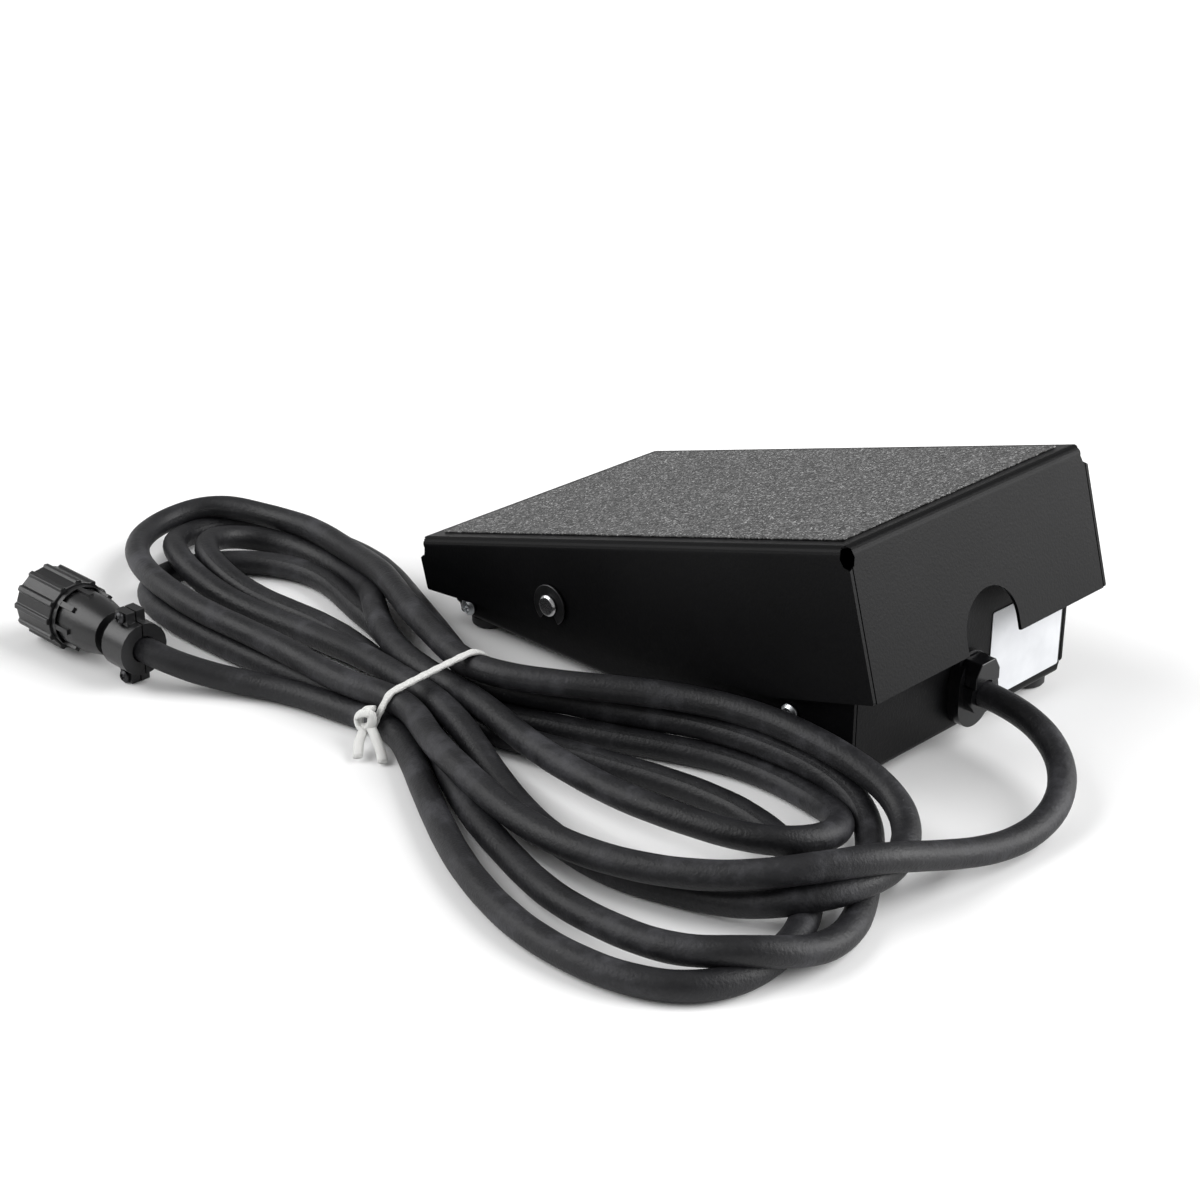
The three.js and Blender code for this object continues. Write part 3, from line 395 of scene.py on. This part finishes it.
# From the strain relief, along the floor and up on the loops of the bundle.
LEAD = [(94.6, 0, 23.3), (106.6, 0, 23.3), (124.6, 0, 23.3), (140.6, -1, 22.5), (155.6, -5, 20.5),
        (169.6, -13, 16.5), (179.6, -25, 12), (184.6, -40, 8.5), (185.5, -54, 7), (184, -70, 7.5),
        (181, -87, 11), (178, -104, 16), (176, -122, 21), (172, -138, 24), (163, -154, 24.5),
        (150, -166, 23), (131, -177, 20), (108, -185, 17.5), (80, -190, 16.5), (50, -188, 16),
        (16, -180, 15), (-14, -170, 15)]
# Each run starts under the string in its place, goes out round a loop, and comes back to the string.
STRANDS = [
    ("mid_near", [(-70, -163, 16), (-100, -162, 17), (-135, -162, 17), (-170, -163, 17),
                  (-196, -160, 17), (-221, -155, 17), (-247, -142, 16), (-264, -124, 14),
                  (-271, -104, 12), (-266, -87, 12), (-244, -75, 13), (-212, -71, 15),
                  (-171, -78, 18), (-128, -94, 21), (-95, -108, 24), (-64, -120, 25)]),
    ("top", [(-8, -122, 27), (20, -107, 28), (45, -93, 28), (75, -84, 28.5), (105, -82, 28),
             (127, -81.5, 25.5), (144, -82.5, 20), (157, -90, 14), (167, -107, 11), (172, -127, 14),
             (170, -146, 15), (160, -159, 12), (144, -166, 8), (124, -171, 5.5), (96, -180, 5.5),
             (64, -178, 5.5), (34, -171, 8), (4, -160, 12), (-18, -151, 15)]),
    ("mid_2", [(-68, -140, 14), (-100, -134, 10), (-140, -131, 7), (-183, -135, 7),
               (-216, -135, 13), (-236, -129, 15), (-253, -115, 10), (-263, -99, 6),
               (-262, -83, 5.5), (-248, -71, 6), (-228, -64, 7), (-201, -62, 8), (-163, -68, 11),
               (-112, -90, 14), (-68, -110, 16)]),
    ("mid_far", [(-5, -113, 14), (22, -101, 13), (55, -88, 15.5), (88, -83, 16.5),
                 (113, -82.5, 15.5), (131, -86, 11), (145, -98, 7), (158, -115, 5.5),
                 (170, -131, 5.5), (178, -147, 5.5), (181, -165, 6.5), (178, -183, 9),
                 (168, -198, 11), (150, -208, 12), (125, -211, 11), (93, -209, 9), (60, -199, 8),
                 (27, -186, 7), (0, -173, 6), (-20, -161, 5.5)]),
    ("low_2", [(-72, -157, 5.5), (-105, -160, 5.5), (-147, -163, 5.5), (-190, -163, 5.5),
               (-212, -160, 5.5), (-227, -151, 5.5), (-234, -138, 5.5), (-232, -122, 5.5),
               (-222, -106, 5.5), (-203, -93, 5.5), (-174, -88, 5.5), (-133, -99, 6),
               (-100, -114, 6), (-65, -124, 5.5)]),
    ("low_far", [(-5, -117, 5.5), (33, -101, 5.5), (59, -90, 5.5), (81, -86, 5.5), (104, -87, 6),
                 (123, -91, 8), (138, -102, 12), (144, -118, 15), (138, -132, 17), (122, -142, 17),
                 (100, -147, 17), (73, -151, 17), (41, -150, 17), (9, -145, 17), (-16, -138, 16)]),
    ("mid_3", [(-72, -132, 14), (-103, -117, 11), (-130, -101, 9), (-157, -87, 7), (-188, -76, 6),
               (-216, -75, 6), (-236, -85, 8), (-242, -101, 12), (-233, -116, 16), (-212, -124, 13),
               (-185, -125, 7), (-156, -122, 5.5), (-124, -123, 6), (-80, -133, 6)]),
    ("low_3", [(0, -133, 5.5), (34, -124, 5.5), (67, -116, 5.5), (95, -114, 5.5), (120, -119, 5.5),
               (142, -131, 5.5), (159, -149, 5.5), (170, -171, 5.5), (173, -193, 5.5),
               (166, -211, 5.5), (148, -224, 5.5), (120, -229, 5.5), (92, -227, 5.5),
               (54, -215, 5.5), (24, -200, 5.5), (-4, -184, 5.5), (-26, -171, 5.5)]),
    ("low_near", [(-72, -165, 5.5), (-96, -169, 5.5), (-118, -179, 6), (-132, -188, 7.5),
                  (-140.4, -194, 10)]),
]
# Into the back of the plug.
TAIL = [(-148.4, -200.5, 14.5), (-155.9, -202.5, 16.3), (-163.9, -202.5, 16.3)]


def at_tie(across, height):
    """A place under the string, in millimetres."""
    return (TIE[0] - across * math.sin(TIE_TURN), TIE[1] + across * math.cos(TIE_TURN), height)


def slot_place(name):
    return at_tie(*SLOTS[name])


def bend_of(points):
    return (points[:-2] + points[2:]) / 2 - points[1:-1]


def cord_route():
    """The cord's middle line as laid by hand, before it rests on itself, and which points stay put."""
    points = list(LEAD)
    for name, lobe in STRANDS:
        points.append(slot_place(name))
        points.extend(lobe)
    points.extend(TAIL)
    route = smooth_route(np.array(points) * MM, CORD_STEP)
    held = np.zeros(len(route), bool)
    held[:int(HELD_LEAD / CORD_STEP)] = True
    held[-HELD_TAIL:] = True
    for name in SLOTS:
        held[np.linalg.norm(route - np.array(slot_place(name)) * MM, axis=1) < CORD_STEP] = True
    return route, held


def settle(route, held, steps=240):
    """Lets the cord lie on the floor and on itself: touching runs push apart, bends keep their set."""
    weight = 0.04 * MM                   # drop in one step
    homing = 0.04                        # share of the way back to where the hand laid it
    stiffness = 0.3
    pushing = 0.3
    sideways = 0.6                       # share of a push that moves a run along the floor
    stretching = 0.25
    apart = 2.06 * CORD_RADIUS
    close = 3 * CORD_RADIUS
    own_stretch = 5                      # points this near along the cord don't push each other
    renew_pairs = 8
    last_smoothing = 8
    p = route.copy()
    index = np.arange(len(p))
    not_neighbours = (index[None, :] - index[:, None]) > own_stretch
    set_bend = bend_of(route)
    set_bend[:, 2] = 0
    step_length = np.linalg.norm(np.diff(route, axis=0), axis=1)
    free = ~held
    for step in range(steps):
        if step % renew_pairs == 0:
            gap = np.linalg.norm(p[:, None] - p[None], axis=-1)
            first, second = np.nonzero(not_neighbours & (gap < close))
        move = homing * (route - p)
        move[:, 2] -= weight
        move[1:-1] += stiffness * (bend_of(p) - set_bend)
        across = p[first] - p[second]
        gap = np.linalg.norm(across, axis=1)
        push = across * (pushing * np.clip(apart - gap, 0, None) / gap)[:, None]
        push[:, :2] *= sideways
        np.add.at(move, first, push)
        np.add.at(move, second, -push)
        p[free] += move[free]
        p[:, 2] = np.maximum(p[:, 2], CORD_RADIUS)
        beside = (p[:, 0] > COVER_ENDS[0]) & (p[:, 0] < COVER_ENDS[1]) & (p[:, 1] < BESIDE_COVER)
        p[beside, 1] = np.minimum(p[beside, 1], COVER_SIDE)
        run = np.diff(p, axis=0)
        stretch = run * (stretching * (1 - step_length / np.linalg.norm(run, axis=1)))[:, None]
        p[:-1][free[:-1]] += stretch[free[:-1]]
        p[1:][free[1:]] -= stretch[free[1:]]
    for _ in range(last_smoothing):
        p[1:-1] += 0.5 * bend_of(p)
    return eased(p, free)


def eased(route, free, steps=1500):
    """Opens folds that are tighter than the cord takes, and leaves the rest of the route alone."""
    p = route.copy()
    allowed = CORD_STEP ** 2 / (2 * LEAST_BEND)
    for _ in range(steps):
        bend = bend_of(p)
        size = np.linalg.norm(bend, axis=1)
        over = np.clip(1 - allowed / size, 0, None) * free[1:-1]
        p[1:-1] += 0.5 * bend * over[:, None]
    return p


def add_tube(name, path, radii, sides, material, flat=1.0):
    """A tube with a map round and along it, the distance along in metres."""
    verts, faces = tube_mesh(path, radii, sides, flat)
    piece = new_object(name, verts, faces, material)
    walked = np.concatenate([[0], np.cumsum(np.linalg.norm(np.diff(path, axis=0), axis=1))])
    layer = piece.data.uv_layers.new(name="jacket")
    for loop in piece.data.loops:
        ring, corner = divmod(loop.vertex_index, sides)
        layer.data[loop.index].uv = (corner / sides, walked[ring])
    return piece


def make_cord():
    route, held = cord_route()
    route = settle(route, held)
    fine = smooth_route(route, CORD_FINE)
    walked = np.arange(len(fine)) * CORD_FINE
    radii = CORD_RADIUS * (1 + 0.006 * np.sin(walked * 310) + 0.004 * np.sin(walked * 97 + 1))
    fine[:, 2] = np.maximum(fine[:, 2], radii)
    piece = add_tube("cord", fine, radii, 24, MATERIALS["cord_rubber"])
    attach(piece, "base")
    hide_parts("cord_lead", "cord_hank_right", "cord_hank_left", "cord_tail")
    return piece, fine


cord, cord_line = make_cord()


# ---------- pieces that keep the CAD's shape ----------
def finish_edges(piece, width, segments=2, sharp=math.radians(32)):
    bevel = piece.modifiers.new("edges", "BEVEL")
    bevel.width = width
    bevel.segments = segments
    bevel.limit_method = "ANGLE"
    bevel.angle_limit = sharp
    bevel.use_clamp_overlap = True
    normals = piece.modifiers.new("flat_faces", "WEIGHTED_NORMAL")
    normals.keep_sharp = True
    normals.weight = 90


def refined(node, body, slot_name, material=None, edge=0.25 * MM, segments=2):
    """A CAD node's shape with whole flat faces, rounded edges and curves shaded smooth."""
    mesh = NODES[node].data.copy()
    mesh.name = f"{node}_surface"
    form = bmesh.new()
    form.from_mesh(mesh)
    bmesh.ops.remove_doubles(form, verts=form.verts, dist=1e-6)
    bmesh.ops.dissolve_limit(form, angle_limit=math.radians(1), verts=form.verts, edges=form.edges)
    for face in form.faces:
        face.smooth = True
    form.to_mesh(mesh)
    form.free()
    mesh.materials.clear()
    mesh.materials.append(material or MATERIALS[slot_name])
    mesh.set_sharp_from_angle(angle=math.radians(32))
    piece = bpy.data.objects.new(f"{node}_finished", mesh)
    bpy.context.scene.collection.objects.link(piece)
    finish_edges(piece, edge, segments)
    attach(piece, body)
    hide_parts(node)
    return piece


def body_of_node(node):
    for body, members in frame["record"]["behaviour"]["bodies"].items():
        if node in members:
            return body
    return "base"


SLOT_OF = {part["node"]: part["material_slot"] for part in frame["record"]["subparts"]}
BUILT_HERE = {"cord_lead", "cord_hank_right", "cord_hank_left", "cord_tail", "hank_tie", "grit_sheet",
              "return_spring_near", "return_spring_far"}
FINE_EDGE = {"label": 0.1 * MM, "steel": 0.2 * MM, "zinc": 0.2 * MM}
GLOSSY = {"strain_relief_body", "strain_relief_hood"}


def finish_cad_nodes():
    for node in sorted(NODES):
        slot_name = SLOT_OF[node]
        if node in BUILT_HERE:
            continue
        if slot_name == "wire":
            plain = NODES[node].data
            plain.materials.clear()
            plain.materials.append(MATERIALS[slot_name])
            plain.polygons.foreach_set("use_smooth", [True] * len(plain.polygons))
            continue
        material = GLOSSY_MOULDING if node in GLOSSY else None
        refined(node, body_of_node(node), slot_name, material, FINE_EDGE.get(slot_name, 0.3 * MM))


finish_cad_nodes()


# ---------- return springs ----------
SPRING_TURNS = 7
SPRING_WIRE = 1 * MM                     # radius of the spring's wire
CLOSED_COIL = 2.15 * SPRING_WIRE         # rise of each end coil


def make_springs():
    """Compression springs with closed ends, built to the size of the CAD's springs."""
    for side in ("near", "far"):
        node = f"return_spring_{side}"
        low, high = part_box(node)
        middle = (low + high) / 2
        radius = (high.x - low.x) / 2 - SPRING_WIRE
        turns = np.linspace(0, SPRING_TURNS, 28 * SPRING_TURNS + 1)
        rise = np.clip((turns - 1) / (SPRING_TURNS - 2), 0, 1)
        flat = np.minimum(turns, 1) + np.maximum(turns - SPRING_TURNS + 1, 0)
        free = high.z - low.z - 2 * SPRING_WIRE - 2 * CLOSED_COIL
        path = np.stack([middle.x + radius * np.cos(2 * math.pi * turns),
                         middle.y + radius * np.sin(2 * math.pi * turns),
                         low.z + SPRING_WIRE + rise * free + flat * CLOSED_COIL], 1)
        verts, faces = tube_mesh(path, SPRING_WIRE * np.ones(len(path)), 12, 1.0)
        spring = new_object(f"{node}_finished", verts, faces, MATERIALS["spring_steel"])
        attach(spring, "base")
        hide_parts(node)
        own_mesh(spring)


make_springs()


# ---------- grit sheet ----------
TILT = math.radians(16)                  # the cover's slope at rest
GRAIN = 1.1 * MM                         # between two points of the grit's surface
GRIT_THICK = 0.7 * MM


def make_grit():
    """The sheet in the cover's slope: an uneven grain on top, and a ragged cut edge."""
    low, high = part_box("grit_sheet")
    rise = GRIT_THICK * math.sin(TILT)
    length = (high.x - low.x - rise) / math.cos(TILT)
    width = high.y - low.y
    columns, rows = int(length / GRAIN), int(width / GRAIN)
    chance = np.random.default_rng(7)
    along = np.linspace(0, length, columns + 1)
    across = np.linspace(0, width, rows + 1)
    u, v = np.meshgrid(along, across, indexing="ij")
    height = GRIT_THICK + chance.uniform(-0.16, 0.1, u.shape) * MM
    u[1:-1, 1:-1] += chance.uniform(-0.25, 0.25, u[1:-1, 1:-1].shape) * GRAIN
    v[1:-1, 1:-1] += chance.uniform(-0.25, 0.25, v[1:-1, 1:-1].shape) * GRAIN
    ragged = 0.35 * MM
    u[0] += chance.uniform(0, ragged, rows + 1)
    u[-1] -= chance.uniform(0, ragged, rows + 1)
    v[:, 0] += chance.uniform(0, ragged, columns + 1)
    v[:, -1] -= chance.uniform(0, ragged, columns + 1)
    top = np.stack([u, v, height], -1).reshape(-1, 3)
    under = top.copy()
    under[:, 2] = 0
    local = np.vstack([top, under])
    slope_cos, slope_sin = math.cos(TILT), math.sin(TILT)
    verts = np.stack([low.x + rise + local[:, 0] * slope_cos - local[:, 2] * slope_sin,
                      low.y + local[:, 1],
                      low.z + local[:, 0] * slope_sin + local[:, 2] * slope_cos], 1)
    count = (columns + 1) * (rows + 1)
    faces = []
    for i in range(columns):
        for j in range(rows):
            a = i * (rows + 1) + j
            faces.append((a, a + rows + 1, a + rows + 2, a + 1))
            faces.append((count + a, count + a + 1, count + a + rows + 2, count + a + rows + 1))
    rim = [i * (rows + 1) for i in range(columns + 1)]
    rim += [columns * (rows + 1) + j for j in range(1, rows + 1)]
    rim += [i * (rows + 1) + rows for i in range(columns - 1, -1, -1)]
    rim += [j for j in range(rows - 1, 0, -1)]
    for here, after in zip(rim, rim[1:] + rim[:1]):
        faces.append((here, count + here, count + after, after))
    sheet = new_object("grit_surface", verts, faces, MATERIALS["grit"])
    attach(sheet, "cover")
    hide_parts("grit_sheet")


make_grit()


# ---------- string round the bundle ----------
def hull(points):
    """The convex outline round some points, as a list going once round."""
    points = sorted(points)

    def half(ordered):
        line = []
        for q in ordered:
            while len(line) > 1:
                (ax, ay), (bx, by) = line[-2], line[-1]
                if (bx - ax) * (q[1] - ay) - (by - ay) * (q[0] - ax) > 0:
                    break
                line.pop()
            line.append(q)
        return line[:-1]

    return half(points) + half(points[::-1])


STRING_HALF_WIDTH = 2.3 * MM
STRING_FLAT = 0.36                       # the string's thickness over its width
KNOT_OUT = 1.5                           # the knot's middle, beyond the bundle's near side
KNOT_HEIGHT = 11


def runs_at_tie():
    """Where runs pass under the string: across the bundle, height, and half the cut across them."""
    direction = np.array([math.cos(TIE_TURN), math.sin(TIE_TURN)])
    across = np.array([-direction[1], direction[0]])
    flat = cord_line[:, :2] / MM - np.array(TIE)
    beyond = flat @ direction
    aside = flat @ across
    found = []
    for i in np.nonzero((beyond[:-1] * beyond[1:] <= 0) & (np.abs(aside[:-1]) < 45))[0]:
        run = flat[i + 1] - flat[i]
        slant = abs(run @ direction) / np.linalg.norm(run)
        found.append((aside[i], cord_line[i, 2] / MM, CORD_RADIUS / MM / slant))
    return found


def make_string():
    rim = []
    over = STRING_FLAT * STRING_HALF_WIDTH / MM
    for aside, height, half_cut in runs_at_tie():
        for k in range(24):
            angle = 2 * math.pi * k / 24
            rim.append((aside + (half_cut + over) * math.cos(angle),
                        max(height + (CORD_RADIUS / MM + over) * math.sin(angle), over)))
    outline = hull(rim)
    path = np.array([at_tie(*point) for point in outline + outline[:1]]) * MM
    path = smooth_route(path, 1.5 * MM)
    wobble = 1 + 0.08 * np.sin(np.arange(len(path)) * 1.7)
    band = add_string("tie_band", path, STRING_HALF_WIDTH * wobble, STRING_FLAT)
    near_edge = min(outline)[0]
    knot_at = np.array(at_tie(near_edge - KNOT_OUT, KNOT_HEIGHT)) * MM
    pieces = [band]
    for name, points, half in STRING_ENDS:
        path = smooth_route(np.array(points) * MM + knot_at, 1.2 * MM)
        pieces.append(add_string(name, path, half * MM * np.ones(len(path)), 0.6))
    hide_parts("hank_tie")
    return pieces


# Turns of the knot and its two tails, from the knot's middle.
STRING_ENDS = [
    ("tie_knot", [(1, 2, 4), (-2.5, 0, 3), (-3, -2, -1.5), (0.5, -3, -4), (3.5, -2, -1), (2.5, -1, 3),
                  (-1, -3, 3), (-4, -3, 0), (-1.5, -4, -3), (2, -3, -3.5)], 2.0),
    ("tie_tail_short", [(0, -2, -2), (1.5, -5, -4), (4, -9, -6), (7, -12, -7.5), (9, -14, -8.5)], 2.1),
    ("tie_tail_long", [(1, -1, -1.5), (5, -2.5, -3), (10, -4.5, -5.5), (14.5, -6.5, -8),
                       (18, -9, -9.2)], 2.1),
]


def add_string(name, path, radii, flat):
    piece = add_tube(name, path, radii, 10, MATERIALS["string"], flat)
    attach(piece, "base")
    return piece


string_pieces = make_string()


# ---------- floor and light ----------
def make_floor():
    half = 20.0
    material, tree, main = shader("pale_floor")
    place = place_coords(tree)
    tone = ramp(tree, noise(tree, place, 3, 3), [(0.3, (0.86, 0.86, 0.86)), (0.7, (0.88, 0.88, 0.88))])
    tree.links.new(tone, main.inputs["Base Color"])
    main.inputs["Roughness"].default_value = 0.8
    main.inputs["Specular IOR Level"].default_value = 0.1
    floor = new_object("floor", [(-half, -half, 0), (half, -half, 0), (half, half, 0), (-half, half, 0)],
                       [(0, 1, 2, 3)], material)


def area_light(name, place, aim, size, power):
    data = bpy.data.lights.new(name, "AREA")
    data.shape = "RECTANGLE"
    data.size, data.size_y = size
    data.energy = power
    lamp = bpy.data.objects.new(name, data)
    lamp.location = place
    lamp.rotation_euler = (Vector(place) - Vector(aim)).to_track_quat("Z", "Y").to_euler()
    bpy.context.scene.collection.objects.link(lamp)


def sun_light(name, towards, power, spread):
    """Soft light of the same strength everywhere, so that the floor stays evenly pale."""
    data = bpy.data.lights.new(name, "SUN")
    data.energy = power
    data.angle = spread
    lamp = bpy.data.objects.new(name, data)
    lamp.rotation_euler = Vector(towards).to_track_quat("Z", "Y").to_euler()
    bpy.context.scene.collection.objects.link(lamp)


def make_light():
    world = bpy.data.worlds.new("studio")
    world.use_nodes = True
    sky = world.node_tree.nodes["Background"]
    sky.inputs["Color"].default_value = (1, 1, 1, 1)
    sky.inputs["Strength"].default_value = 0.38
    bpy.context.scene.world = world
    sun_light("left", (-0.71, -0.70, 0.75), 2.5, math.radians(50))
    sun_light("right", (0.71, 0.70, 0.75), 2.6, math.radians(50))
    area_light("behind_right", (1.7, 1.5, 0.55), (0, -0.05, 0.03), (1.6, 1.0), 34)
    bpy.context.scene.view_settings.view_transform = "Standard"


make_floor()
make_light()
